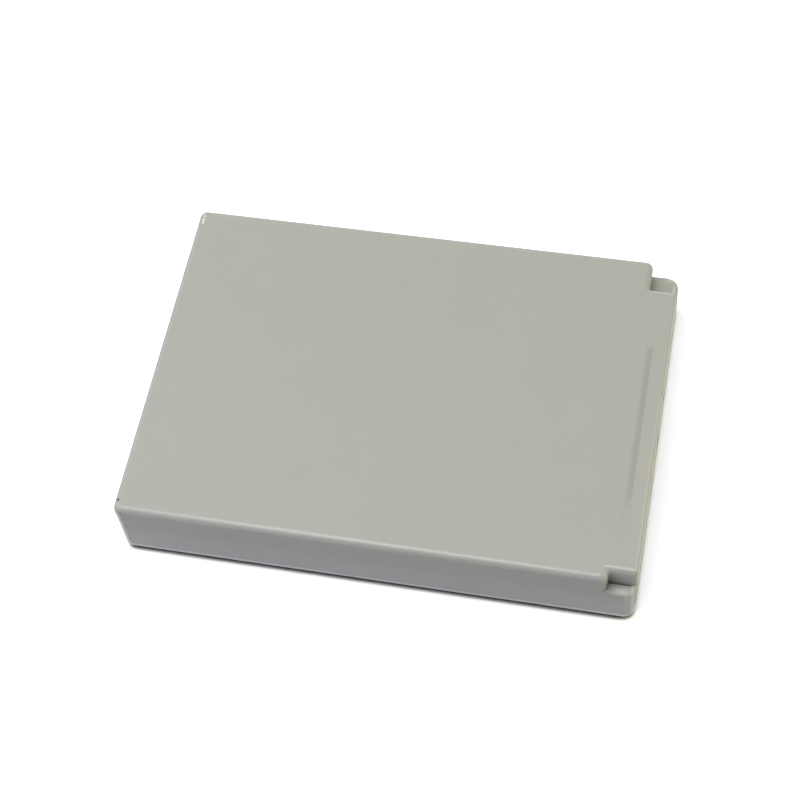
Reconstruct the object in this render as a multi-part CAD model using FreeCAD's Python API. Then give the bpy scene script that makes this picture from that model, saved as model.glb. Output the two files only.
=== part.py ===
import FreeCAD, Part
import math
import os

# Slim rechargeable camera battery: a moulded case around one flat cell and its protection board.
# Millimetres. The origin is the middle of the base, +X points to the contact end, +Y to the side
# with the wide key notch, and +Z up to the plain face.

# Outside of the pack
pack_length = 45.0
pack_width = 32.1
pack_height = 7.0
wall_draft_deg = 0.65
back_corner_radius = 0.65
contact_corner_radius = 1.1
top_edge_radius = 0.6
base_edge_radius = 0.6

# Walls of the upper case
side_wall = 1.0
top_wall = 0.7
cavity_corner_radius = 0.4

# Key notches in the two upper corners of the contact end
notch_length = 2.5
far_notch_width = 3.05
near_notch_width = 1.0
notch_depth = 2.38
notch_inner_radius = 0.2
notch_outer_radius = 0.65
notch_floor_radius = 0.3

# Most that a radius may take of the smallest notch size, or of the plan radius it runs round
inner_radius_share = 0.3
outer_radius_share = 0.7
rolled_radius_share = 0.95

# Rib that steadies the board under the top face, and the shallow sink line moulded over it
rib_thickness = 0.45
rib_height = 0.8
rib_length = 16.8
rib_centre_y = -1.52
sink_line_width = 0.5
sink_line_depth = 0.05

# Stops that keep the cell off the board
stop_thickness = 0.6
stop_width = 1.0

# Base cover, set flush into a rebate round the mouth of the case
cover_thickness = 0.7
cover_ledge = 0.2
cover_clearance = 0.05
cover_edge_bevel = 0.12
label_recess_depth = 0.1
label_recess_margin = 1.6
label_recess_radius = 1.0
rail_height = 0.7

# Contacts behind their windows in the end wall
contact_names = ("contact_positive", "contact_sense", "contact_negative")
contact_pitch = 4.6
contact_thickness = 0.15
contact_overlap = 0.3
window_width = 2.8
window_height = 3.4
window_corner_radius = 0.3
window_lead_in = 0.25

# Protection board, upright behind the end wall
board_thickness = 0.4
board_rib_gap = 0.05
board_edge_gap = 0.05
board_side_gap = 0.3

# Cell, held by adhesive tape above and a soft pad below
cell_side_gap = 0.2
cell_end_gap = 0.15
cell_edge_radius = 1.3
cell_base_radius = 0.5
tape_thickness = 0.1
pad_thickness = 0.3
tape_margin = 3.0
tape_corner_radius = 1.0
header_room = 3.4

# Terminal on the cell's header, its gasket and the insulating sheet
gasket_length = 4.6
gasket_width = 2.8
gasket_thickness = 0.25
terminal_length = 3.8
terminal_width = 2.0
terminal_thickness = 0.35
plate_end_share = 0.45
insulator_thickness = 0.2
insulator_edge_gap = 0.4
insulator_hole_gap = 0.2
insulator_margin = 1.0

# Nickel leads and the thermal cutoff between them
lead_thickness = 0.15
lead_width = 2.5
lead_bend_radius = 0.15
lead_board_inset = 1.0
lead_pad_length = 2.4
positive_weld_length = 4.6
cutoff_lead_run = 1.8
cutoff_length = 3.6
cutoff_width = 3.0
cutoff_thickness = 1.0
cutoff_edge_radius = 0.2

# Parts soldered to the board: packages with gull-wing legs, and ceramic chips
part_spacing = 0.6
package_length = 2.9
package_width = 1.6
package_stand_off = 0.1
chip_package_height = 1.1
transistor_package_height = 0.9
leg_count = 3
leg_pitch = 0.95
leg_width = 0.4
leg_thickness = 0.15
leg_reach = 0.6
leg_foot = 0.35
chip_cap_length = 0.3
chip_cap_swell = 0.03
chip_row_gap = 0.5
large_chip = (1.6, 0.8, 0.8)
small_chip = (1.0, 0.5, 0.35)

# Slack allowed when an edge is picked by its place
tolerance = 1e-4

# Levels and planes that follow from the sizes above
half_length = pack_length / 2
half_width = pack_width / 2
notch_floor_z = pack_height - notch_depth
notch_wall_x = half_length - notch_length
far_notch_y = half_width - far_notch_width
near_notch_y = near_notch_width - half_width
ceiling_z = pack_height - top_wall
cavity_x0 = side_wall - half_length
cavity_x1 = half_length - side_wall
cavity_half_width = half_width - side_wall

contact_x0 = cavity_x1 - contact_thickness
board_x0 = contact_x0 - board_thickness
rib_x1 = board_x0 - board_rib_gap
rib_x0 = rib_x1 - rib_thickness
rib_y0 = rib_centre_y - rib_length / 2
rib_y1 = rib_centre_y + rib_length / 2
board_y0 = near_notch_y + side_wall + board_side_gap
board_y1 = far_notch_y - side_wall - board_side_gap
board_z0 = cover_thickness + board_edge_gap
board_z1 = ceiling_z - board_edge_gap
board_mid_y = (board_y0 + board_y1) / 2
board_mid_z = (board_z0 + board_z1) / 2

cell_x0 = cavity_x0 + cell_end_gap
cell_x1 = rib_x0 - header_room
cell_half_width = cavity_half_width - cell_side_gap
cell_z0 = cover_thickness + pad_thickness
cell_z1 = ceiling_z - tape_thickness
cell_mid_z = (cell_z0 + cell_z1) / 2
stop_x0 = cell_x1 + cell_end_gap

terminal_x1 = cell_x1 + gasket_thickness + terminal_thickness
positive_riser_y = board_y0 + lead_board_inset
negative_riser_y = board_y1 - lead_board_inset
cutoff_x0 = cell_x1 + insulator_thickness
cutoff_y1 = negative_riser_y - cutoff_lead_run
cutoff_y0 = cutoff_y1 - cutoff_length


def vector(x, y, z):
    return FreeCAD.Vector(x, y, z)


def block(x_span, y_span, z_span):
    """Box between two values on each axis."""
    (x0, x1), (y0, y1), (z0, z1) = x_span, y_span, z_span
    return Part.makeBox(x1 - x0, y1 - y0, z1 - z0, vector(x0, y0, z0))


def edges_along(shape, axis):
    """Straight edges of a shape that run parallel to one axis, given as 0, 1 or 2."""
    found = []
    for edge in shape.Edges:
        run = edge.Vertexes[-1].Point - edge.Vertexes[0].Point
        if edge.Curve.TypeId == "Part::GeomLine" and abs(run[axis]) > 0.999 * run.Length:
            found.append(edge)
    return found


def edges_at_height(shape, z):
    """Edges that lie flat in one level plane."""
    return [
        edge
        for edge in shape.Edges
        if max(abs(vertex.Z - z) for vertex in edge.Vertexes) < tolerance
        and abs(edge.CenterOfMass.z - z) < tolerance
    ]


def rounded_block(x_span, y_span, z_span, axis, radius):
    """Box whose four edges along one axis are rounded."""
    shape = block(x_span, y_span, z_span)
    return shape.makeFillet(radius, edges_along(shape, axis))


def centred(middle, size):
    """Span of a given size about its middle."""
    return (middle - size / 2, middle + size / 2)


def window_centres():
    """Middle of each contact along the end wall, from the far side to the near side."""
    first = rib_centre_y + contact_pitch * (len(contact_names) - 1) / 2
    return [first - contact_pitch * index for index in range(len(contact_names))]


# Outer form of the case


def drafted_block():
    """Pack's envelope with sharp edges: all four walls lean in towards the top by the draft."""
    lean = pack_height * math.tan(math.radians(wall_draft_deg))
    shape = Part.makeWedge(
        -half_length, 0, -half_width, lean - half_width, lean - half_length,
        half_length, pack_height, half_width, half_width - lean, half_length - lean,
    )
    shape.rotate(vector(0, 0, 0), vector(1, 0, 0), 90)
    return shape


def corner_edges(shape, x_sign):
    """Upright outer corner edges of the drafted block at its back (-1) or contact end (+1)."""
    found = []
    for edge in shape.Edges:
        middle = edge.CenterOfMass
        at_end = x_sign * middle.x > half_length - side_wall
        at_side = abs(middle.y) > half_width - side_wall
        if at_end and at_side and edge.BoundBox.ZLength > pack_height / 2:
            found.append(edge)
    return found


def lower_form():
    """Full-outline part of the case up to the floors of the key notches."""
    shape = drafted_block()
    shape = shape.makeFillet(back_corner_radius, corner_edges(shape, -1))
    shape = shape.makeFillet(contact_corner_radius, corner_edges(shape, 1))
    around = 2 * pack_length
    shape = shape.common(block((-around, around), (-around, around), (0, notch_floor_z)))
    shape = shape.makeFillet(notch_floor_radius, edges_at_height(shape, notch_floor_z))
    return shape.makeFillet(base_edge_radius, edges_at_height(shape, 0))


def notch_cutter(y_inner, y_outer, inner_radius):
    """Upright prism that clears one key notch, with its inside corner rounded."""
    y_span = (min(y_inner, y_outer), max(y_inner, y_outer))
    shape = block((notch_wall_x, pack_length), y_span, (-pack_height, 2 * pack_height))
    inside = [
        edge
        for edge in edges_along(shape, 2)
        if abs(edge.CenterOfMass.x - notch_wall_x) + abs(edge.CenterOfMass.y - y_inner) < inner_radius
    ]
    return shape.makeFillet(inner_radius, inside)


def notch_corner_edges(shape):
    """Upright outer edges that the two notches leave on the side walls and the end wall."""
    found = []
    for edge in shape.Edges:
        middle = edge.CenterOfMass
        on_side = abs(middle.x - notch_wall_x) < side_wall / 4 and abs(middle.y) > half_width - side_wall / 2
        on_end = middle.x > half_length - side_wall / 2 and edge.BoundBox.YLength < side_wall / 4
        if edge.BoundBox.ZLength > pack_height / 2 and (on_side or on_end):
            found.append(edge)
    return found


def upper_form():
    """Notched part of the case above the notch floors, with one soft radius round its top."""
    tightest = min(far_notch_width, near_notch_width, notch_length)
    inner_radius = min(notch_inner_radius, inner_radius_share * tightest)
    outer_radius = min(notch_outer_radius, outer_radius_share * tightest)
    shape = drafted_block()
    shape = shape.makeFillet(back_corner_radius, corner_edges(shape, -1))
    shape = shape.cut(notch_cutter(far_notch_y, pack_width, inner_radius))
    shape = shape.cut(notch_cutter(near_notch_y, -pack_width, inner_radius))
    shape = shape.makeFillet(outer_radius, notch_corner_edges(shape))
    plan_radius = min(outer_radius, back_corner_radius)
    top_radius = min(top_edge_radius, rolled_radius_share * plan_radius)
    shape = shape.makeFillet(top_radius, edges_at_height(shape, pack_height))
    around = 2 * pack_length
    foot_z = notch_floor_z - 2 * notch_floor_radius
    return shape.common(block((-around, around), (-around, around), (foot_z, around)))


# Case, cover and what is moulded into them


def case_cavity():
    """Room inside the case: full outline below the notch floors, stepped in beside the notches."""
    low_top = notch_floor_z - side_wall
    y_span = (-cavity_half_width, cavity_half_width)
    low = rounded_block((cavity_x0, cavity_x1), y_span, (0, low_top), 2, cavity_corner_radius)
    main_x1 = notch_wall_x - side_wall
    main = rounded_block((cavity_x0, main_x1), y_span, (0, ceiling_z), 2, cavity_corner_radius)
    bay_span = (near_notch_y + side_wall, far_notch_y - side_wall)
    bay = block((main_x1 - side_wall, cavity_x1), bay_span, (0, ceiling_z))
    return low.fuse([main, bay])


def cover_outline(clearance):
    """Flat block of the rebate in the mouth of the case, shrunk by a clearance all round."""
    grow = cover_ledge - clearance
    return rounded_block(
        (cavity_x0 - grow, cavity_x1 + grow),
        (-cavity_half_width - grow, cavity_half_width + grow),
        (0, cover_thickness),
        2,
        cavity_corner_radius + grow,
    )


def sink_line():
    """Round-ended shallow trough in the top face, a long capsule sunk to its depth."""
    radius = (sink_line_width**2 / 4 + sink_line_depth**2) / (2 * sink_line_depth)
    x = (rib_x0 + rib_x1) / 2
    z = pack_height - sink_line_depth + radius
    trough = Part.makeCylinder(radius, rib_length, vector(x, rib_y0, z), vector(0, 1, 0))
    ends = [Part.makeSphere(radius, vector(x, y, z)) for y in (rib_y0, rib_y1)]
    return trough.fuse(ends)


def cut_contact_windows(shape):
    """Cut the contact windows through the end wall and bevel their outer rims."""
    z_span = centred(board_mid_z, window_height)
    for y in window_centres():
        y_span = centred(y, window_width)
        window = rounded_block((contact_x0, pack_length), y_span, z_span, 0, window_corner_radius)
        shape = shape.cut(window)
        rim = []
        for edge in shape.Edges:
            middle = edge.CenterOfMass
            inside = y_span[0] < middle.y + tolerance and middle.y - tolerance < y_span[1]
            if inside and abs(middle.z - board_mid_z) < window_height / 2 + tolerance:
                if edge.BoundBox.XMin > cavity_x1 + side_wall / 2:
                    rim.append(edge)
        shape = shape.makeChamfer(window_lead_in, rim)
    return shape


def cell_stops():
    """Two upright ribs on the side walls, just in front of the cell's header."""
    x_span = (stop_x0, stop_x0 + stop_thickness)
    z_span = (cover_thickness, pack_height - top_wall / 2)
    sink = side_wall / 2
    near = (-cavity_half_width - sink, stop_width - cavity_half_width)
    far = (cavity_half_width - stop_width, cavity_half_width + sink)
    return [block(x_span, near, z_span), block(x_span, far, z_span)]


def make_upper_case():
    """Moulded cup: plain top, four drafted walls, key notches, contact windows and inner ribs."""
    shape = lower_form().fuse(upper_form()).removeSplitter()
    shape = shape.cut(case_cavity())
    shape = shape.cut(cover_outline(0))
    shape = shape.cut(sink_line())
    shape = cut_contact_windows(shape)
    rib_top = pack_height - top_wall / 2
    rib = block((rib_x0, rib_x1), (rib_y0, rib_y1), (ceiling_z - rib_height, rib_top))
    return shape.fuse([rib] + cell_stops()).removeSplitter()


def make_base_cover():
    """Flush plate with a bevelled edge, a shallow bare panel outside and a board rail inside."""
    shape = cover_outline(cover_clearance)
    shape = shape.makeChamfer(cover_edge_bevel, edges_at_height(shape, 0))
    inset = label_recess_margin
    panel = rounded_block(
        (cavity_x0 + inset, cavity_x1 - inset),
        (inset - cavity_half_width, cavity_half_width - inset),
        (-cover_thickness, label_recess_depth),
        2,
        label_recess_radius,
    )
    rail_z = (cover_thickness - label_recess_depth, cover_thickness + rail_height)
    rail = block((rib_x0, rib_x1), (rib_y0, rib_y1), rail_z)
    return shape.cut(panel).fuse(rail).removeSplitter()


# Cell and what holds it


def make_cell():
    """Sealed prismatic can with rounded long edges and a softer closed end."""
    x_span = (cell_x0, cell_x1)
    y_span = (-cell_half_width, cell_half_width)
    shape = rounded_block(x_span, y_span, (cell_z0, cell_z1), 0, cell_edge_radius)
    closed_end = [edge for edge in shape.Edges if edge.BoundBox.XMax < cell_x0 + tolerance]
    return shape.makeFillet(cell_base_radius, closed_end)


def adhesive_sheet(z_span):
    """Thin rectangle against one broad face of the cell."""
    return rounded_block(
        (cell_x0 + tape_margin, cell_x1 - tape_margin),
        (tape_margin - cell_half_width, cell_half_width - tape_margin),
        z_span,
        2,
        tape_corner_radius,
    )


def header_plate(length, width, x_span):
    """Round-ended plate on the middle of the cell's header."""
    end_radius = plate_end_share * width
    return rounded_block(x_span, centred(0, length), centred(cell_mid_z, width), 0, end_radius)


def make_header_insulator():
    """Sheet that keeps the negative lead off the can, with a hole for the gasket."""
    x_span = (cell_x1, cell_x1 + insulator_thickness)
    y0 = -gasket_length / 2 - insulator_margin
    y1 = cavity_half_width - stop_width - cell_side_gap
    z_span = (cell_z0 + insulator_edge_gap, cell_z1 - insulator_edge_gap)
    hole = 2 * insulator_hole_gap
    opening = header_plate(gasket_length + hole, gasket_width + hole, x_span)
    return block(x_span, (y0, y1), z_span).cut(opening)


# Leads, cutoff, board and contacts


def folded_lead(weld_x, weld_end_y, riser_y):
    """Strip folded into a U: a weld leg, a riser across to the board, and a leg on the board.

    Both legs run from the riser towards the middle of the pack.
    """
    inward = 1 if weld_end_y > riser_y else -1
    pad_end_y = riser_y + inward * lead_pad_length
    inner_y = riser_y + inward * lead_thickness
    outline = Part.makePolygon([
        vector(weld_x, weld_end_y, 0),
        vector(weld_x, riser_y, 0),
        vector(board_x0, riser_y, 0),
        vector(board_x0, pad_end_y, 0),
        vector(board_x0 - lead_thickness, pad_end_y, 0),
        vector(board_x0 - lead_thickness, inner_y, 0),
        vector(weld_x + lead_thickness, inner_y, 0),
        vector(weld_x + lead_thickness, weld_end_y, 0),
        vector(weld_x, weld_end_y, 0),
    ])
    shape = Part.Face(outline).extrude(vector(0, 0, lead_width))
    shape.translate(vector(0, 0, board_mid_z - lead_width / 2))
    for y, radius in ((riser_y, lead_bend_radius + lead_thickness), (inner_y, lead_bend_radius)):
        bends = [edge for edge in edges_along(shape, 2) if abs(edge.CenterOfMass.y - y) < tolerance]
        shape = shape.makeFillet(radius, bends)
    return shape


def make_negative_lead():
    """Flat strip from the cell's terminal to the cutoff."""
    x_span = (terminal_x1, terminal_x1 + lead_thickness)
    return block(x_span, (-terminal_length / 2, cutoff_y0), centred(board_mid_z, lead_width))


def make_thermal_cutoff():
    """Small flat body in line with the negative lead, lying on the insulating sheet."""
    x_span = (cutoff_x0, cutoff_x0 + cutoff_thickness)
    z_span = centred(board_mid_z, cutoff_width)
    return rounded_block(x_span, (cutoff_y0, cutoff_y1), z_span, 1, cutoff_edge_radius)


def make_board():
    """Upright protection board between the key notches."""
    return block((board_x0, contact_x0), (board_y0, board_y1), (board_z0, board_z1))


def make_contact(y):
    """Flat plated contact, a little larger than its window."""
    grow = 2 * contact_overlap
    return rounded_block(
        (contact_x0, cavity_x1),
        centred(y, window_width + grow),
        centred(board_mid_z, window_height + grow),
        0,
        window_corner_radius,
    )


def gull_wing_package(y, height):
    """Small moulded package on the board with bent legs above and below, all one piece."""
    x_top = board_x0 - height
    x_seat = board_x0 - package_stand_off
    body_z = centred(board_mid_z, package_width)
    shape = block((x_top, x_seat), centred(y, package_length), body_z)
    shoulder_x = (x_top + x_seat) / 2
    reach = package_width / 2 + leg_reach
    leg = Part.Face(Part.makePolygon([
        vector(shoulder_x, 0, 0),
        vector(shoulder_x, 0, reach - leg_foot + leg_thickness),
        vector(board_x0 - leg_thickness, 0, reach - leg_foot + leg_thickness),
        vector(board_x0 - leg_thickness, 0, reach),
        vector(board_x0, 0, reach),
        vector(board_x0, 0, reach - leg_foot),
        vector(shoulder_x + leg_thickness, 0, reach - leg_foot),
        vector(shoulder_x + leg_thickness, 0, 0),
        vector(shoulder_x, 0, 0),
    ])).extrude(vector(0, leg_width, 0))
    legs = []
    for index in range(leg_count):
        offset = leg_pitch * (index - (leg_count - 1) / 2)
        upper = leg.translated(vector(0, y + offset - leg_width / 2, board_mid_z))
        lower = upper.mirror(vector(0, 0, board_mid_z), vector(0, 0, 1))
        legs += [upper, lower]
    return shape.fuse(legs).removeSplitter()


def ceramic_chip(y, z, sizes):
    """Chip on the board with plated end caps that stand slightly proud of its body."""
    length, width, height = sizes
    body_x = (board_x0 - height + chip_cap_swell, board_x0)
    shape = block(body_x, centred(y, length), centred(z, width - 2 * chip_cap_swell))
    caps = []
    for side in (-1, 1):
        cap_y = y + side * (length - chip_cap_length) / 2
        caps.append(
            block((board_x0 - height, board_x0), centred(cap_y, chip_cap_length), centred(z, width))
        )
    return shape.fuse(caps)


def board_parts():
    """Parts on the inner face of the board, set out in columns about its middle."""
    columns = (package_length, package_length, large_chip[0], large_chip[0], large_chip[0])
    row_length = sum(columns) + part_spacing * (len(columns) - 1)
    column_y = []
    y = board_mid_y - row_length / 2
    for length in columns:
        column_y.append(y + length / 2)
        y += length + part_spacing
    transistor_y, chip_y, first_column_y, second_column_y, thermistor_y = column_y
    upper_z = board_mid_z + (chip_row_gap + large_chip[1]) / 2
    lower_z = board_mid_z - (chip_row_gap + large_chip[1]) / 2
    return {
        "switch_transistor": gull_wing_package(transistor_y, transistor_package_height),
        "protection_chip": gull_wing_package(chip_y, chip_package_height),
        "supply_capacitor": ceramic_chip(first_column_y, upper_z, large_chip),
        "output_capacitor": ceramic_chip(first_column_y, lower_z, large_chip),
        "supply_resistor": ceramic_chip(second_column_y, upper_z, small_chip),
        "sense_resistor": ceramic_chip(second_column_y, lower_z, small_chip),
        "thermistor": ceramic_chip(thermistor_y, board_mid_z, large_chip),
    }


def make_pieces():
    """Every piece of the pack under the name of its file."""
    gasket_x = (cell_x1, cell_x1 + gasket_thickness)
    pieces = {
        "upper_case": make_upper_case(),
        "base_cover": make_base_cover(),
        "cell": make_cell(),
        "cell_tape": adhesive_sheet((cell_z1, ceiling_z)),
        "base_pad": adhesive_sheet((cover_thickness, cell_z0)),
        "cell_gasket": header_plate(gasket_length, gasket_width, gasket_x),
        "cell_terminal": header_plate(terminal_length, terminal_width, (gasket_x[1], terminal_x1)),
        "header_insulator": make_header_insulator(),
        "positive_lead": folded_lead(cell_x1, positive_riser_y + positive_weld_length, positive_riser_y),
        "negative_lead": make_negative_lead(),
        "thermal_cutoff": make_thermal_cutoff(),
        "cutoff_lead": folded_lead(terminal_x1, cutoff_y1, negative_riser_y),
        "protection_board": make_board(),
    }
    for name, y in zip(contact_names, window_centres()):
        pieces[name] = make_contact(y)
    pieces.update(board_parts())
    return pieces


os.makedirs("parts", exist_ok=True)
for node_name, piece in make_pieces().items():
    piece.exportStep(f"parts/{node_name}.step")
    print(node_name, len(piece.Solids), round(piece.Volume, 3), piece.isValid())
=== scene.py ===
"""Looks of a slim camera battery pack: a matte grey moulded case with gold contacts, lying on white."""

import logging
import math
from dataclasses import dataclass
from enum import Enum

import bpy
import numpy as np
from mathutils import Matrix, Vector


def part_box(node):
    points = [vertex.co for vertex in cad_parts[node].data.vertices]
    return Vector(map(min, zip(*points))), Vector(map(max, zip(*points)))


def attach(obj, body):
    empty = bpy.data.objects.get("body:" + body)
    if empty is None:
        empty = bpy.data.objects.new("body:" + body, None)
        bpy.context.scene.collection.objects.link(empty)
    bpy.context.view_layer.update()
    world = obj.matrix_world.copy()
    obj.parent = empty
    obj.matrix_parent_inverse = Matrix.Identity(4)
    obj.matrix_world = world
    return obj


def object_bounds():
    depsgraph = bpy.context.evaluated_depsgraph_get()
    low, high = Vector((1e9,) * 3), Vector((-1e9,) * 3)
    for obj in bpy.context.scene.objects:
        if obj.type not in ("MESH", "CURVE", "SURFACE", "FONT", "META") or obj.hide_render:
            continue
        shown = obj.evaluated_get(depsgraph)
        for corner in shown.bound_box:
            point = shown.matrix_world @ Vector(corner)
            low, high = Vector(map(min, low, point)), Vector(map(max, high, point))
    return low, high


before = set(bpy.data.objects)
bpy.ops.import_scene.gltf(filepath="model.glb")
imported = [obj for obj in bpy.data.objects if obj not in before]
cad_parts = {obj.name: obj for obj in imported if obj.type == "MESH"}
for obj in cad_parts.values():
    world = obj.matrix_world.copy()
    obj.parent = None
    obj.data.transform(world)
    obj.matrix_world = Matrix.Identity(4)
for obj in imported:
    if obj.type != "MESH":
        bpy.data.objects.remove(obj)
CAD_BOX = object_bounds()

LOG = logging.getLogger("battery_pack")
MM = 0.001
BODY = "root"

# Edges of a new piece that turn by more than this stay sharp
CREASE_DEG = 40.0

# Least value that a length is divided by
SMALLEST = 1e-6

# Sockets of a Mix node, which repeats its socket names for every data type
MIX_FACTOR, MIX_A, MIX_B, MIX_RESULT = 0, 6, 7, 2
MIX_NUMBER_A, MIX_NUMBER_B = 2, 3

# A wave texture repeats after this much of its scaled coordinate
WAVE_PERIOD = 2 * math.pi / 20

HexPair = tuple[str, str]
Inputs = dict[str | int, object]
Material = bpy.types.Material
Node = bpy.types.Node
Point = tuple[float, float, float]
Socket = bpy.types.NodeSocket
Tree = bpy.types.NodeTree


# Shared helpers


def linear(hex_code: str) -> tuple[float, float, float, float]:
    """Turn an sRGB hex colour into linear light.

    Args:
        hex_code: Six hex digits.

    Returns:
        Linear red, green and blue with an alpha of one.
    """
    srgb = np.array([int(hex_code[i : i + 2], 16) for i in (0, 2, 4)]) / 255
    rgb = np.where(srgb <= 0.04045, srgb / 12.92, ((srgb + 0.055) / 1.055) ** 2.4)
    return (*rgb.tolist(), 1.0)


def wire(tree: Tree, node: Node, inputs: Inputs) -> None:
    """Give a node's sockets their values, or links from other sockets.

    Args:
        tree: Node tree that holds the node.
        node: Node to set.
        inputs: Socket name or index, with a plain value or a socket to link from.
    """
    for key, value in inputs.items():
        if isinstance(value, Socket):
            tree.links.new(value, node.inputs[key])
        else:
            node.inputs[key].default_value = value


def add_node(tree: Tree, kind: str, inputs: Inputs, out: str | int = 0, **settings: object) -> Socket:
    """Add one shader node with its settings, values and links.

    Args:
        tree: Node tree that gets the node.
        kind: Node type without its ShaderNode prefix.
        inputs: Socket name or index, with a plain value or a socket to link from.
        out: Name or index of the output wanted.
        **settings: Attributes of the node, such as its operation.

    Returns:
        The output socket.
    """
    node = tree.nodes.new("ShaderNode" + kind)
    for name, value in settings.items():
        setattr(node, name, value)
    wire(tree, node, inputs)
    return node.outputs[out]


def full_turn(steps: int) -> np.ndarray:
    """Angles of one full turn in even steps, without the last, which is the first again."""
    return np.linspace(0, 2 * np.pi, steps, endpoint=False)


def add_piece(name: str, points: np.ndarray, material: Material, poles: bool) -> None:
    """Make one closed piece from a grid of points and let it ride on the pack.

    Rows of the grid follow the first parameter and close on themselves. Columns follow the second
    parameter: they close on themselves too, or each end is drawn together to one pole point.

    Args:
        name: Name of the piece.
        points: Array of rows by columns by three, in millimetres.
        material: Finish of the piece.
        poles: Whether the columns end in poles.
    """
    rows, columns = points.shape[:2]
    row = np.arange(rows)[:, None]
    column = np.arange(columns - 1 if poles else columns)[None, :]
    next_row, next_column = (row + 1) % rows, (column + 1) % columns
    corners = [row * columns + column, next_row * columns + column]
    corners += [next_row * columns + next_column, row * columns + next_column]
    faces = np.stack(np.broadcast_arrays(*corners), axis=-1).reshape(-1, 4).tolist()
    places = points.reshape(-1, 3)
    if poles:
        first, last = rows * columns, rows * columns + 1
        places = np.vstack([places, points[:, 0].mean(axis=0), points[:, -1].mean(axis=0)])
        start, turn = row[:, 0] * columns, next_row[:, 0] * columns
        end = columns - 1
        faces += np.stack([turn, start, np.full(rows, first)], axis=-1).tolist()
        faces += np.stack([start + end, turn + end, np.full(rows, last)], axis=-1).tolist()
    mesh = bpy.data.meshes.new(name)
    mesh.from_pydata((places * MM).tolist(), [], faces)
    mesh.shade_smooth()
    mesh.set_sharp_from_angle(angle=math.radians(CREASE_DEG))
    mesh.materials.append(material)
    piece = bpy.data.objects.new(name, mesh)
    bpy.context.scene.collection.objects.link(piece)
    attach(piece, BODY)
    LOG.info("%s: %d faces", name, len(faces))


def dress(node: str, material: Material) -> None:
    """Put one finish on a CAD node.

    Args:
        node: Name of the node.
        material: Finish of the node.
    """
    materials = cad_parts[node].data.materials
    materials.clear()
    materials.append(material)
    LOG.info("%s: %s", node, material.name)


def box_mm(node: str) -> tuple[np.ndarray, np.ndarray]:
    """Lowest and highest corner of a CAD node in millimetres."""
    low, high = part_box(node)
    return np.array(low) / MM, np.array(high) / MM


# Masks for painted highlights and shade, and for worn and dirty places


class Axis(Enum):
    """Axis of the shared frame, valued by its place in a vector."""

    X = 0
    Y = 1
    Z = 2


@dataclass(frozen=True)
class Ramp:
    """Smooth step along one axis, from nothing at its start to full at its end.

    A mirrored ramp does the same on both halves of the axis.
    """

    axis: Axis
    start_mm: float
    end_mm: float
    mirrored: bool = False

    def mask(self, tree: Tree, place: Socket) -> Socket:
        """Mask of the step.

        Args:
            tree: Node tree of the material.
            place: Object coordinates in millimetres.

        Returns:
            The mask.
        """
        along = add_node(tree, "SeparateXYZ", {"Vector": place}, out=self.axis.name)
        if self.mirrored:
            along = add_node(tree, "Math", {0: along}, operation="ABSOLUTE")
        span = {"Value": along, "From Min": self.start_mm, "From Max": self.end_mm}
        return add_node(tree, "MapRange", span, interpolation_type="SMOOTHSTEP")


@dataclass(frozen=True)
class Patch:
    """Place where several ramps are up together, such as an edge, and how strong its mask is there."""

    ramps: tuple[Ramp, ...]
    share: float = 1.0

    def mask(self, tree: Tree, place: Socket) -> Socket:
        """Product of the ramps and the share.

        Args:
            tree: Node tree of the material.
            place: Object coordinates in millimetres.

        Returns:
            The mask.
        """
        mask = self.share
        for ramp in self.ramps:
            mask = add_node(tree, "Math", {0: mask, 1: ramp.mask(tree, place)}, operation="MULTIPLY")
        return mask


def largest(tree: Tree, place: Socket, patches: tuple[Patch, ...]) -> Socket:
    """Largest of several patches' masks.

    Args:
        tree: Node tree of the material.
        place: Object coordinates in millimetres.
        patches: The patches.

    Returns:
        The mask.
    """
    mask = 0.0
    for patch in patches:
        mask = add_node(tree, "Math", {0: mask, 1: patch.mask(tree, place)}, operation="MAXIMUM")
    return mask


def soft_dot(tree: Tree, place: Socket, middle: Point, radius: float, share: float = 1.0) -> Socket:
    """Mask of a round spot, at its strongest within half its radius.

    Args:
        tree: Node tree of the material.
        place: Object coordinates in millimetres.
        middle: Middle of the spot, in millimetres.
        radius: Radius of the spot, in millimetres.
        share: Strength of the mask in the middle.

    Returns:
        The mask.
    """
    away = add_node(tree, "VectorMath", {0: place, 1: middle}, out="Value", operation="DISTANCE")
    span = {"Value": away, "From Min": radius, "From Max": radius / 2, "To Max": share}
    return add_node(tree, "MapRange", span, interpolation_type="SMOOTHSTEP")


class Spot(Enum):
    """Kind of small spot on the case, valued by its colour."""

    # Painted glint
    PAINTED_GLINT = "FBFAF6"
    STAIN = "3A3733"
    SPECK = "6A6862"


@dataclass(frozen=True)
class SmallSpot:
    """One small spot on the case; its kinds are a painted glint, a stain and a speck."""

    kind: Spot
    middle_mm: Point
    radius_mm: float


# Ramps towards the outer faces and edges of the case
CONTACT_END = Ramp(Axis.X, 21.9, 22.5)
BACK_END = Ramp(Axis.X, -21.9, -22.5)
SIDES = Ramp(Axis.Y, 15.45, 16.05, mirrored=True)
CONTACT_CORNERS = Ramp(Axis.Y, 15.2, 15.8, mirrored=True)
BASE = Ramp(Axis.Z, 1.1, 0.55)
TOP = Ramp(Axis.Z, 6.5, 6.7)

# Ramps that an upright corner of the back end lies between
BACK_CORNER = (Ramp(Axis.X, -21.8, -21.96), Ramp(Axis.X, -22.48, -22.36), Ramp(Axis.Z, 6.8, 6.1))


# Finishes


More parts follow.
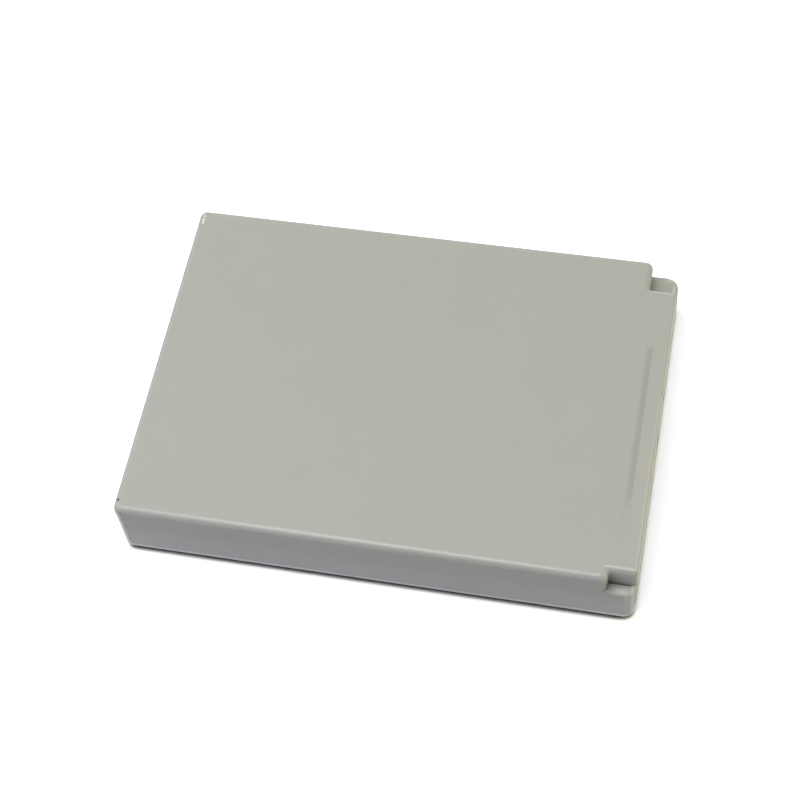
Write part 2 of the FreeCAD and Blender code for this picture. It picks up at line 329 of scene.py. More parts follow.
@dataclass(frozen=True)
class Finish:
    """A named surface finish whose patterns are sized in millimetres."""

    name: str

    def shade(self, tree: Tree, place: Socket, shader: Node) -> None:
        """Set the shader's sockets.

        Args:
            tree: Node tree of the material.
            place: Object coordinates in millimetres.
            shader: Principled shader of the material.
        """
        raise NotImplementedError

    def build(self) -> Material:
        """Make the node material.

        Returns:
            The material, ready to assign.
        """
        material = bpy.data.materials.new(self.name)
        material.use_nodes = True
        tree = material.node_tree
        metres = add_node(tree, "TexCoord", {}, out="Object")
        place = add_node(tree, "Mapping", {"Vector": metres, "Scale": (1 / MM, 1 / MM, 1 / MM)})
        self.shade(tree, place, tree.nodes["Principled BSDF"])
        return material


@dataclass(frozen=True)
class MouldedPlastic(Finish):
    """PC/ABS blend moulded in a spark-eroded tool.

    The eye gets a dry, even, slightly warm grey with a soft sheen, a very fine grain, faint clouds
    where the melt flowed, and a few specks. The base edges, corners, ends and notch rims carry painted
    highlights and painted light bounced from the table, with smoother plastic there; fingers have polished
    the upper edges; the inner corners carry painted shade.
    """

    name: str = "moulded_pc_abs"
    body_hex: str = "B4B3AB"
    cloud_hex: str = "B0B0A6"
    # Colour of the painted highlights and of the painted light bounced from the table
    painted_highlight_hex: str = "F0EFEA"
    speck_hex: str = "8C8A82"
    # Colour of the painted shade in the inner corners
    corner_shade_hex: str = "35332F"
    # Thicker plastic over the board's rib cools last, which leaves a duller, slightly darker band; it is
    # painted darker mostly over the lit flank of the moulded trough, a painted shade that evens out the
    # trough's light and shade
    sink_and_shade_hex: str = "A3A39A"
    ior: float = 1.45
    roughness: float = 0.58
    rubbed_roughness: float = 0.45
    coat: float = 0.05
    polished_coat: float = 0.6
    coat_roughness: float = 0.2
    # The real grain is about 0.03 mm, too fine to show, so it is drawn five times as coarse
    grain_mm: float = 0.15
    grain_height_mm: float = 0.003
    cloud_mm: float = 6.0
    speck_pitch_mm: float = 1.3
    speck_radius_mm: float = 0.07
    speck_share: float = 0.12
    # Painted shade in the inner corners: how open a place is where it starts and where it is full, and how
    # much is left on level faces
    corner_shade_open: tuple[float, float] = (0.95, 0.5)
    corner_shade_reach_mm: float = 1.6
    corner_shade_level: float = 0.05
    corner_shade_samples: int = 8
    # Places painted paler as highlights and as light bounced from the table, where the plastic is also a
    # little smoother
    highlights_and_rubs: tuple[Patch, ...] = (
        # Painted highlights on the upright corners of the back end, mostly the near one, and on the wider
        # ones of the contact end
        Patch((*BACK_CORNER, Ramp(Axis.Y, -15.2, -15.6)), share=0.8),
        Patch((*BACK_CORNER, Ramp(Axis.Y, 15.2, 15.6)), share=0.3),
        Patch((Ramp(Axis.X, 21.38, 21.52), CONTACT_CORNERS), share=0.25),
        Patch((Ramp(Axis.X, 21.85, 22.2), CONTACT_CORNERS), share=0.6),
        # Painted light bounced from the table on the long walls, more and more towards the base, and
        # painted highlights on their base edges
        Patch((SIDES, Ramp(Axis.Z, 5.5, 0.8)), share=0.2),
        Patch((SIDES, BASE)),
        # Painted bounce light on the ends towards the base, mostly the contact end, and a painted
        # highlight along its upper edge
        Patch((BACK_END, BASE), share=0.3),
        Patch((CONTACT_END, Ramp(Axis.Z, 2.4, 0.9))),
        Patch((Ramp(Axis.X, 22.32, 22.41), Ramp(Axis.Z, 4.0, 5.8)), share=0.6),
        # Painted highlights on the rim of the wide notch and of the narrow one
        Patch((Ramp(Axis.X, 19.9, 20.2), Ramp(Axis.Y, 12.5, 12.65), Ramp(Axis.Z, 6.4, 6.6)), share=0.3),
        Patch((
            Ramp(Axis.X, 19.4, 19.7),
            Ramp(Axis.Y, -14.46, -14.58),
            Ramp(Axis.Y, -14.78, -14.62),
            Ramp(Axis.Z, 6.8, 6.9),
        ), share=0.35),
        # Painted highlights on the outer edges of their floors
        Patch((
            Ramp(Axis.X, 21.9, 22.02),
            Ramp(Axis.X, 22.24, 22.12),
            Ramp(Axis.Y, 15.4, 14.8),
            Ramp(Axis.Z, 4.3, 4.4),
            Ramp(Axis.Z, 4.8, 4.7),
        ), share=0.35),
        Patch((
            Ramp(Axis.X, 20.0, 21.4),
            Ramp(Axis.X, 22.0, 21.4),
            Ramp(Axis.Y, -15.1, -15.6),
            Ramp(Axis.Z, 4.2, 4.55),
            Ramp(Axis.Z, 4.8, 4.7),
        ), share=0.3),
    )
    # Upper edges of the long sides and of the contact end
    polished: tuple[Patch, ...] = (
        Patch((Ramp(Axis.Y, 15.15, 15.4, mirrored=True), TOP)),
        Patch((Ramp(Axis.X, 21.55, 21.8), TOP)),
    )
    # Sink band, painted darker mostly over the trough's lit flank as painted shade
    sink: Patch = Patch((
        Ramp(Axis.X, 20.53, 20.68),
        Ramp(Axis.X, 21.08, 20.95),
        Ramp(Axis.Y, -9.9, -6.9),
        Ramp(Axis.Y, 6.9, 6.5),
        Ramp(Axis.Z, 6.7, 6.8),
    ))
    # A painted glint in a sliver at the far back corner, and a stain with three specks at the near one
    glints_and_blemishes: tuple[SmallSpot, ...] = (
        SmallSpot(Spot.PAINTED_GLINT, (-21.92, 15.2, 6.99), 0.12),
        SmallSpot(Spot.PAINTED_GLINT, (-21.89, 14.85, 6.99), 0.13),
        SmallSpot(Spot.PAINTED_GLINT, (-21.88, 14.63, 7.0), 0.13),
        SmallSpot(Spot.PAINTED_GLINT, (-21.87, 14.42, 7.0), 0.12),
        SmallSpot(Spot.STAIN, (-22.08, -14.9, 6.94), 0.17),
        SmallSpot(Spot.SPECK, (-21.73, -15.97, 6.3), 0.1),
        SmallSpot(Spot.SPECK, (-21.68, -16.0, 4.15), 0.11),
        SmallSpot(Spot.SPECK, (-21.75, -16.02, 1.8), 0.12),
    )

    def speck_mask(self, tree: Tree, place: Socket) -> Socket:
        """Mask of small round specks in a few of the cells of a scattered pattern.

        Args:
            tree: Node tree of the material.
            place: Object coordinates in millimetres.

        Returns:
            The mask.
        """
        radius = self.speck_radius_mm / self.speck_pitch_mm
        near = add_node(tree, "TexVoronoi", {"Vector": place, "Scale": 1 / self.speck_pitch_mm})
        chance = add_node(tree, "SeparateColor", {"Color": near.node.outputs["Color"]})
        dot = {"Value": near, "From Min": radius, "From Max": radius / 2}
        spot = add_node(tree, "MapRange", dot, interpolation_type="SMOOTHSTEP")
        chosen = add_node(tree, "Math", {0: chance, 1: self.speck_share}, operation="LESS_THAN")
        return add_node(tree, "Math", {0: spot, 1: chosen}, operation="MULTIPLY")

    def corner_shade_mask(self, tree: Tree) -> Socket:
        """Mask of the painted shade at the foot of inner walls, fainter on level faces.

        Args:
            tree: Node tree of the material.

        Returns:
            The mask.
        """
        reach = {"Distance": self.corner_shade_reach_mm * MM}
        settings = {"only_local": True, "samples": self.corner_shade_samples}
        free = add_node(tree, "AmbientOcclusion", reach, out="AO", **settings)
        start, full = self.corner_shade_open
        corner = add_node(tree, "MapRange", {"Value": free, "From Min": start, "From Max": full})
        normal = add_node(tree, "NewGeometry", {}, out="Normal")
        rise = add_node(tree, "SeparateXYZ", {"Vector": normal}, out="Z")
        level_fade = add_node(tree, "MapRange", {"Value": rise, "To Min": 1.0, "To Max": self.corner_shade_level})
        return add_node(tree, "Math", {0: corner, 1: level_fade}, operation="MULTIPLY")

    def shade(self, tree: Tree, place: Socket, shader: Node) -> None:
        """Set the plastic with its clouds, specks, painted highlights, sink band, painted corner shade,
        spots and grain.

        Args:
            tree: Node tree of the material.
            place: Object coordinates in millimetres.
            shader: Principled shader of the material.
        """
        cloud = add_node(tree, "TexNoise", {"Vector": place, "Scale": 1 / self.cloud_mm, "Detail": 3.0})
        grain = add_node(tree, "TexNoise", {"Vector": place, "Scale": 1 / self.grain_mm, "Detail": 2.0})
        # Mask of the painted highlights and bounce light, which also smooths the plastic there
        highlight_and_rub = largest(tree, place, self.highlights_and_rubs)
        polish = largest(tree, place, self.polished)
        layers = [
            (cloud, self.cloud_hex),
            (self.speck_mask(tree, place), self.speck_hex),
            (highlight_and_rub, self.painted_highlight_hex),
            # Sink band, partly painted shade
            (self.sink.mask(tree, place), self.sink_and_shade_hex),
            # Painted shade in the inner corners
            (self.corner_shade_mask(tree), self.corner_shade_hex),
        ]
        for small_spot in self.glints_and_blemishes:
            dot = soft_dot(tree, place, small_spot.middle_mm, small_spot.radius_mm)
            layers.append((dot, small_spot.kind.value))
        colour = linear(self.body_hex)
        for mask, hex_code in layers:
            tint = {MIX_FACTOR: mask, MIX_A: colour, MIX_B: linear(hex_code)}
            colour = add_node(tree, "Mix", tint, out=MIX_RESULT, data_type="RGBA")
        gloss = {"Value": highlight_and_rub, "To Min": self.roughness, "To Max": self.rubbed_roughness}
        sheen = {"Value": polish, "To Min": self.coat, "To Max": self.polished_coat}
        relief = {"Height": grain, "Strength": 1.0, "Distance": self.grain_height_mm * MM}
        wire(tree, shader, {
            "Base Color": colour,
            "Roughness": add_node(tree, "MapRange", gloss),
            "IOR": self.ior,
            "Coat Weight": add_node(tree, "MapRange", sheen),
            "Coat Roughness": self.coat_roughness,
            "Normal": add_node(tree, "Bump", relief),
        })


@dataclass(frozen=True)
class StreakedMetal(Finish):
    """Sheet metal with fine lines along the way it was rolled or drawn.

    The eye gets a satin sheen, pulled out across the lines, with slightly duller streaks.
    """

    metal_hex: str = "DADBDC"
    line_hex: str = "C2C3C5"
    roughness: float = 0.3
    line_roughness: float = 0.42
    # The real lines are a few hundredths of a millimetre wide, so they are drawn about four times as wide
    line_mm: Point = (6.0, 0.12, 0.12)
    line_height_mm: float = 0.002

    def painted_glint(self, tree: Tree, place: Socket, colour: Socket, gloss: Socket) -> tuple[Socket, Socket]:
        """Change the colour and roughness where the metal is worn, here nowhere."""
        return colour, gloss

    def shade(self, tree: Tree, place: Socket, shader: Node) -> None:
        """Set the streaked metal on the shader.

        Args:
            tree: Node tree of the material.
            place: Object coordinates in millimetres.
            shader: Principled shader of the material.
        """
        stretch = tuple(1 / size for size in self.line_mm)
        along = add_node(tree, "Mapping", {"Vector": place, "Scale": stretch})
        lines = add_node(tree, "TexNoise", {"Vector": along, "Scale": 1.0, "Detail": 2.0})
        tint = {MIX_FACTOR: lines, MIX_A: linear(self.metal_hex), MIX_B: linear(self.line_hex)}
        span = {"Value": lines, "To Min": self.roughness, "To Max": self.line_roughness}
        relief = {"Height": lines, "Strength": 1.0, "Distance": self.line_height_mm * MM}
        streaked = add_node(tree, "Mix", tint, out=MIX_RESULT, data_type="RGBA")
        colour, gloss = self.painted_glint(tree, place, streaked, add_node(tree, "MapRange", span))
        wire(tree, shader, {
            "Base Color": colour,
            "Metallic": 1.0,
            "Roughness": gloss,
            "Normal": add_node(tree, "Bump", relief),
        })


@dataclass(frozen=True)
class GoldPlate(StreakedMetal):
    """Hard gold over nickel on stamped brass.

    The eye gets a warm bright yellow with faint rolling lines, and in the middle the small dull
    patch where a bay's spring pin has pressed.
    """

    name: str = "hard_gold"
    metal_hex: str = "E3C274"
    line_hex: str = "D2AC58"
    roughness: float = 0.2
    line_roughness: float = 0.3
    line_mm: Point = (0.12, 5.0, 0.12)
    pin_mm: Point = (0.0, 0.0, 0.0)
    pin_radius_mm: float = 0.45
    pressed_hex: str = "B79A5E"
    pressed_share: float = 0.7
    pressed_roughness: float = 0.5

    def painted_glint(self, tree: Tree, place: Socket, colour: Socket, gloss: Socket) -> tuple[Socket, Socket]:
        """Dull the round patch under the spring pin.

        Args:
            tree: Node tree of the material.
            place: Object coordinates in millimetres.
            colour: Colour of the fresh plating.
            gloss: Roughness of the fresh plating.

        Returns:
            Colour and roughness with the patch.
        """
        patch = soft_dot(tree, place, self.pin_mm, self.pin_radius_mm, self.pressed_share)
        tint = {MIX_FACTOR: patch, MIX_A: colour, MIX_B: linear(self.pressed_hex)}
        level = {MIX_FACTOR: patch, MIX_NUMBER_A: gloss, MIX_NUMBER_B: self.pressed_roughness}
        dulled = add_node(tree, "Mix", tint, out=MIX_RESULT, data_type="RGBA")
        return dulled, add_node(tree, "Mix", level, data_type="FLOAT")


@dataclass(frozen=True)
class MattSheet(Finish):
    """Dry sheet or small moulding with a fine mottle of fibres, cells or grain.

    The eye gets a dull, even face with soft flecks. The real flecks are mostly under a tenth of a
    millimetre, so they are drawn a few times as coarse.
    """

    base_hex: str
    mottle_hex: str
    pattern_mm: float
    relief_mm: float
    roughness: float

    def shade(self, tree: Tree, place: Socket, shader: Node) -> None:
        """Set the mottle and its relief on the shader.

        Args:
            tree: Node tree of the material.
            place: Object coordinates in millimetres.
            shader: Principled shader of the material.
        """
        mottle = add_node(tree, "TexNoise", {"Vector": place, "Scale": 1 / self.pattern_mm, "Detail": 4.0})
        tint = {MIX_FACTOR: mottle, MIX_A: linear(self.base_hex), MIX_B: linear(self.mottle_hex)}
        relief = {"Height": mottle, "Strength": 1.0, "Distance": self.relief_mm * MM}
        wire(tree, shader, {
            "Base Color": add_node(tree, "Mix", tint, out=MIX_RESULT, data_type="RGBA"),
            "Roughness": self.roughness,
            "Normal": add_node(tree, "Bump", relief),
        })


@dataclass(frozen=True)
class BoardLaminate(Finish):
    """Glass-cloth epoxy laminate under green solder resist.

    The eye gets a deep glossy green with the cloth's squares faintly raised, and a dull straw edge
    where the board was routed out.
    """

    name: str = "glass_epoxy_laminate"
    resist_hex: str = "1F6A44"
    deep_hex: str = "185738"
    edge_hex: str = "B5AA78"
    # Faces whose normal lies less than this along the board's thickness are its edge
    edge_limit: float = 0.5
    weave_mm: float = 0.5
    weave_height_mm: float = 0.01
    roughness: float = 0.3

    def shade(self, tree: Tree, place: Socket, shader: Node) -> None:
        """Set the resist, the weave and the routed edge on the shader.

        Args:
            tree: Node tree of the material.
            place: Object coordinates in millimetres.
            shader: Principled shader of the material.
        """
        bands = {"Vector": place, "Scale": WAVE_PERIOD / self.weave_mm}
        threads = [add_node(tree, "TexWave", bands, out="Fac", bands_direction=axis) for axis in "YZ"]
        weave = add_node(tree, "Math", {0: threads[0], 1: threads[1]}, operation="MULTIPLY")
        normal = add_node(tree, "NewGeometry", {}, out="Normal")
        facing = add_node(tree, "SeparateXYZ", {"Vector": normal}, out="X")
        broad = add_node(tree, "Math", {0: facing}, operation="ABSOLUTE")
        edge = add_node(tree, "Math", {0: broad, 1: self.edge_limit}, operation="LESS_THAN")
        tint = {MIX_FACTOR: weave, MIX_A: linear(self.deep_hex), MIX_B: linear(self.resist_hex)}
        face = add_node(tree, "Mix", tint, out=MIX_RESULT, data_type="RGBA")
        bare = {MIX_FACTOR: edge, MIX_A: face, MIX_B: linear(self.edge_hex)}
        relief = {"Height": weave, "Strength": 1.0, "Distance": self.weave_height_mm * MM}
        wire(tree, shader, {
            "Base Color": add_node(tree, "Mix", bare, out=MIX_RESULT, data_type="RGBA"),
            "Roughness": self.roughness,
            "Normal": add_node(tree, "Bump", relief),
        })


@dataclass(frozen=True)
class CappedBody(Finish):
    """Moulded resin or fired ceramic between tinned metal ends.

    The eye gets a matt dark or earthy body and bright, slightly uneven solder-coated ends or legs.
    """

    axis: Axis
    middle_mm: float
    half_mm: float
    body_hex: str
    mottle_hex: str
    tin_hex: str = "CFCEC9"
    body_roughness: float = 0.55
    tin_roughness: float = 0.32
    # The real grain is about 0.02 mm, too fine to show, so it is drawn ten times as coarse
    grain_mm: float = 0.2
    grain_height_mm: float = 0.004

    def shade(self, tree: Tree, place: Socket, shader: Node) -> None:
        """Set the body and its tinned ends on the shader.

        Args:
            tree: Node tree of the material.
            place: Object coordinates in millimetres.
            shader: Principled shader of the material.
        """
        grain = add_node(tree, "TexNoise", {"Vector": place, "Scale": 1 / self.grain_mm, "Detail": 3.0})
        along = add_node(tree, "SeparateXYZ", {"Vector": place}, out=self.axis.name)
        shifted = add_node(tree, "Math", {0: along, 1: self.middle_mm}, operation="SUBTRACT")
        away = add_node(tree, "Math", {0: shifted}, operation="ABSOLUTE")
        tinned = add_node(tree, "Math", {0: away, 1: self.half_mm}, operation="GREATER_THAN")
        tint = {MIX_FACTOR: grain, MIX_A: linear(self.body_hex), MIX_B: linear(self.mottle_hex)}
        body = add_node(tree, "Mix", tint, out=MIX_RESULT, data_type="RGBA")
        ends = {MIX_FACTOR: tinned, MIX_A: body, MIX_B: linear(self.tin_hex)}
        gloss = {"Value": tinned, "To Min": self.body_roughness, "To Max": self.tin_roughness}
        relief = {"Height": grain, "Strength": 1.0, "Distance": self.grain_height_mm * MM}
        wire(tree, shader, {
            "Base Color": add_node(tree, "Mix", ends, out=MIX_RESULT, data_type="RGBA"),
            "Metallic": tinned,
            "Roughness": add_node(tree, "MapRange", gloss),
            "Normal": add_node(tree, "Bump", relief),
        })


# Sub-assemblies, with their sizes in millimetres


class Mark(Enum):
    """Moulded polarity mark, valued by how many arm directions it has."""

    PLUS = 2
    MINUS = 1


@dataclass
class CasePair:
    """Upper case and base cover with their weld and the moulded marks on the contact end."""

    finish: MouldedPlastic = MouldedPlastic()
    slot: str = "case_plastic"
    cover_corner: float = 0.55
    seam_inset: float = 0.025
    bead_radius: float = 0.07
    bead_height: float = 0.1
    bead_steps: int = 96
    bead_ring_steps: int = 12
    wall_draft_deg: float = 0.65
    mark_reach: float = 0.45
    mark_arm: float = 0.13
    mark_rise: float = 0.05
    mark_root: float = 0.08
    mark_height: float = 5.85
    mark_steps: int = 160
    # Side and soft shoulder of a mark: shares of its outline, and of its rise
    mark_draw_in: tuple[float, ...] = (1.0, 0.97, 0.9, 0.6, 0.3)
    mark_climb: tuple[float, ...] = (0.55, 0.9, 1.0, 1.0, 1.0)

    def weld_bead(self, material: Material) -> None:
        """Add the round weld bead in the seam between case and cover.

        A circle of the bead's radius is carried along a rounded rectangle, the cover's outline
        moved out to the middle of the seam.

        Args:
            material: Finish of the bead.
        """
        low, high = box_mm("base_cover")
        half = (high - low)[:2] / 2 + self.seam_inset
        middle = ((high + low) / 2)[:2]
        radius = self.cover_corner + self.seam_inset
        # A quarter of a step keeps every direction off the axes, where its sign would be nothing
        turn = full_turn(self.bead_steps) + np.pi / (2 * self.bead_steps)
        outward = np.stack([np.cos(turn), np.sin(turn)], axis=-1)
        path = middle + np.sign(outward) * (half - radius) + radius * outward
        ring = full_turn(self.bead_ring_steps)
        flat = path[:, None, :] + self.bead_radius * np.cos(ring)[None, :, None] * outward[:, None, :]
        height = self.bead_height + self.bead_radius * np.sin(ring)[None, :, None]
        points = np.concatenate([flat, np.broadcast_to(height, (*flat.shape[:2], 1))], axis=-1)
        add_piece("weld_bead", points, material, poles=False)

    def moulded_mark(self, mark: Mark, y: float, material: Material) -> None:
        """Add one raised polarity mark on the drafted end wall.

        The outline in polar form is the smaller of reach over cosine and arm over sine of the
        angle folded to the nearest arm. It is carried from under the wall's skin up to the rise,
        then drawn in over a soft shoulder to the middle.

        Args:
            mark: Which mark.
            y: Middle of the mark across the pack.
            material: Finish of the mark.
        """
        fold = np.pi / mark.value
        angle = full_turn(self.mark_steps)
        folded = (angle + fold / 2) % fold - fold / 2
        run, rise = np.abs(np.cos(folded)), np.maximum(np.abs(np.sin(folded)), SMALLEST)
        outline = np.minimum(self.mark_reach / run, self.mark_arm / rise)
        draw_in = np.array([1.0, *self.mark_draw_in])
        lift = np.array([-self.mark_root, *(share * self.mark_rise for share in self.mark_climb)])
        out = outline[:, None] * draw_in[None, :]
        across, up = out * np.cos(angle)[:, None], out * np.sin(angle)[:, None]
        z = self.mark_height + up
        foot_x = np.array(CAD_BOX)[1, 0] / MM
        x = foot_x - z * math.tan(math.radians(self.wall_draft_deg)) + lift[None, :]
        points = np.stack([x, y + across, z], axis=-1)
        add_piece(f"mark_{mark.name.lower()}", points, material, poles=True)

    def build(self) -> None:
        """Dress both mouldings and add the weld bead and the two marks."""
        material = self.finish.build()
        dress("upper_case", material)
        dress("base_cover", material)
        self.weld_bead(material)
        for mark, node in ((Mark.PLUS, "contact_positive"), (Mark.MINUS, "contact_negative")):
            low, high = box_mm(node)
            self.moulded_mark(mark, float(low[1] + high[1]) / 2, material)


@dataclass
class CellPack:
    """Sealed cell with the sheets that hold it, its header parts and its nickel leads."""

    # Deep-drawn can: satin pale grey with long lines down the draw
    can: Finish = StreakedMetal("drawn_aluminium")
    # Rolled strip: a warmer and brighter grey with lines along the strip
    nickel: Finish = StreakedMetal(
        "rolled_nickel",
        metal_hex="C9C4B8",
        line_hex="AEA99D",
        roughness=0.26,
        line_roughness=0.4,
        line_mm=(0.12, 5.0, 0.12),
    )
    # Tissue coated with adhesive: dull cream with soft fibres
    tape: Finish = MattSheet(
        "tissue_tape", "E4E0CF", "D5D0BD", pattern_mm=0.5, relief_mm=0.01, roughness=0.8
    )
    # Blown foam: nearly black and very dull, with open cells
    foam: Finish = MattSheet(
        "cellular_foam", "3A3A3D", "232326", pattern_mm=0.35, relief_mm=0.08, roughness=0.95
    )
    # Moulded plastic: smooth bluish grey with a low sheen
    gasket: Finish = MattSheet(
        "moulded_gasket", "4C515C", "444954", pattern_mm=0.3, relief_mm=0.003, roughness=0.45
    )
    # Paper fibre pressed to a hard sheet: dull grey green, slightly mottled
    paper: Finish = MattSheet(
        "vulcanised_fibre", "9DAE8C", "8B9C7B", pattern_mm=0.4, relief_mm=0.008, roughness=0.8
    )
    # Poured resin: near black with a faint sheen
    resin: Finish = MattSheet(
        "cast_epoxy", "2A2A2C", "222224", pattern_mm=0.3, relief_mm=0.004, roughness=0.5
    )
    strip_thickness: float = 0.15
    spots_per_lead: int = 2
    spot_inset: float = 0.9
    spot_pitch: float = 1.2
    spot_radius: float = 0.4
    spot_rise: float = 0.04
    spot_root: float = 0.05
    spot_steps: int = 24
    # Shares of a nugget's radius: under the strip's skin, then over the crown
    spot_under: tuple[float, ...] = (0.5, 1.0)
    spot_crown: tuple[float, ...] = (1.0, 0.85, 0.6, 0.3)

    def weld_spot(self, name: str, place: Point, material: Material) -> None:
        """Add one round weld nugget on a lead, facing the contact end.

        A profile is turned about the X axis: up from under the strip's skin, then over a crown whose
        height falls with the square of the radius.

        Args:
            name: Name of the piece.
            place: Middle of the nugget on the strip's face.
            material: Finish of the nugget.
        """
        angle = full_turn(self.spot_steps)
        reach = np.array([*self.spot_under, *self.spot_crown])
        lift = self.spot_rise * (1 - reach**2)
        lift[: len(self.spot_under)] = -self.spot_root
        x = np.broadcast_to(place[0] + lift, (angle.size, reach.size))
        y = place[1] + self.spot_radius * reach[None, :] * np.cos(angle)[:, None]
        z = place[2] + self.spot_radius * reach[None, :] * np.sin(angle)[:, None]
        add_piece(name, np.stack([x, y, z], axis=-1), material, poles=True)

    def build(self) -> None:
        """Dress the cell and its parts, and add the weld nuggets on the two leads."""
        nickel = self.nickel.build()
        for node in ("cell_terminal", "positive_lead", "negative_lead", "cutoff_lead"):
            dress(node, nickel)
        finishes = {
            "cell": self.can,
            "cell_tape": self.tape,
            "base_pad": self.foam,
            "cell_gasket": self.gasket,
            "header_insulator": self.paper,
            "thermal_cutoff": self.resin,
        }
        for node, finish in finishes.items():
            dress(node, finish.build())
        # Nuggets are counted inwards from each lead's welded end, on the can or on the terminal
        for lead, inward in (("positive_lead", -1), ("negative_lead", 1)):
            low, high = box_mm(lead)
            end_y = high[1] if inward < 0 else low[1]
            for count in range(self.spots_per_lead):
                y = end_y + inward * (self.spot_inset + self.spot_pitch * count)
                place = (low[0] + self.strip_thickness, y, (low[2] + high[2]) / 2)
                self.weld_spot(f"{lead}_weld_{count + 1}", place, nickel)


@dataclass
class ProtectionCircuit:
    """Protection board with its plated contacts, packages and ceramic chips."""

    board: Finish = BoardLaminate()
    package_half: float = 0.8
    chip_cap: float = 0.3
    # Colours of each body and of its mottle
    package_hexes: HexPair = ("262628", "1F1F21")
    capacitor_hexes: HexPair = ("A5875F", "987B55")
    resistor_hexes: HexPair = ("202022", "1B1B1D")
    thermistor_hexes: HexPair = ("5F6B54", "56624C")

    def capped(self, name: str, node: str, axis: Axis, half: float, hexes: HexPair) -> None:
        """Dress one small part whose ends are tinned metal.

        Args:
            name: Name of the finish.
            node: CAD node of the part.
            axis: Axis along which the tinned ends lie.
            half: Half of the bare body's length on that axis.
            hexes: Hex colours of the body and its mottle.
        """
        low, high = box_mm(node)
        middle = float(low[axis.value] + high[axis.value]) / 2
        dress(node, CappedBody(f"{name}_{node}", axis, middle, half, *hexes).build())

    def build(self) -> None:
        """Dress the board, the contacts and every part on the board."""
        dress("protection_board", self.board.build())
        for node in ("contact_positive", "contact_sense", "contact_negative"):
            low, high = box_mm(node)
            pin = (float(high[0]), float(low[1] + high[1]) / 2, float(low[2] + high[2]) / 2)
            dress(node, GoldPlate(name=f"hard_gold_{node}", pin_mm=pin).build())
        for node in ("switch_transistor", "protection_chip"):
            self.capped("moulded_epoxy", node, Axis.Z, self.package_half, self.package_hexes)
        chips = {
            "supply_capacitor": ("fired_ceramic", self.capacitor_hexes),
            "output_capacitor": ("fired_ceramic", self.capacitor_hexes),
            "supply_resistor": ("glazed_ceramic", self.resistor_hexes),
            "sense_resistor": ("glazed_ceramic", self.resistor_hexes),
            "thermistor": ("fired_ceramic", self.thermistor_hexes),
        }
        for node, (name, hexes) in chips.items():
            low, high = box_mm(node)
            self.capped(name, node, Axis.Y, float(high[1] - low[1]) / 2 - self.chip_cap, hexes)


# Studio


@dataclass(frozen=True)
class SoftBox:
    """Rectangular soft box that faces the pack."""

    name: str
    place_mm: Point
    width_mm: float
    height_mm: float
    watts: float
    hex_code: str

    def hang(self) -> None:
        """Hang the soft box at its place."""
        lamp = bpy.data.lights.new(self.name, "AREA")
        lamp.shape = "RECTANGLE"
        lamp.size = self.width_mm * MM
        lamp.size_y = self.height_mm * MM
        lamp.energy = self.watts
        lamp.color = linear(self.hex_code)[:3]
        light = bpy.data.objects.new(self.name, lamp)
        light.location = Vector(self.place_mm) * MM
        light.rotation_euler = (-light.location).to_track_quat("-Z", "Y").to_euler()
        bpy.context.scene.collection.objects.link(light)


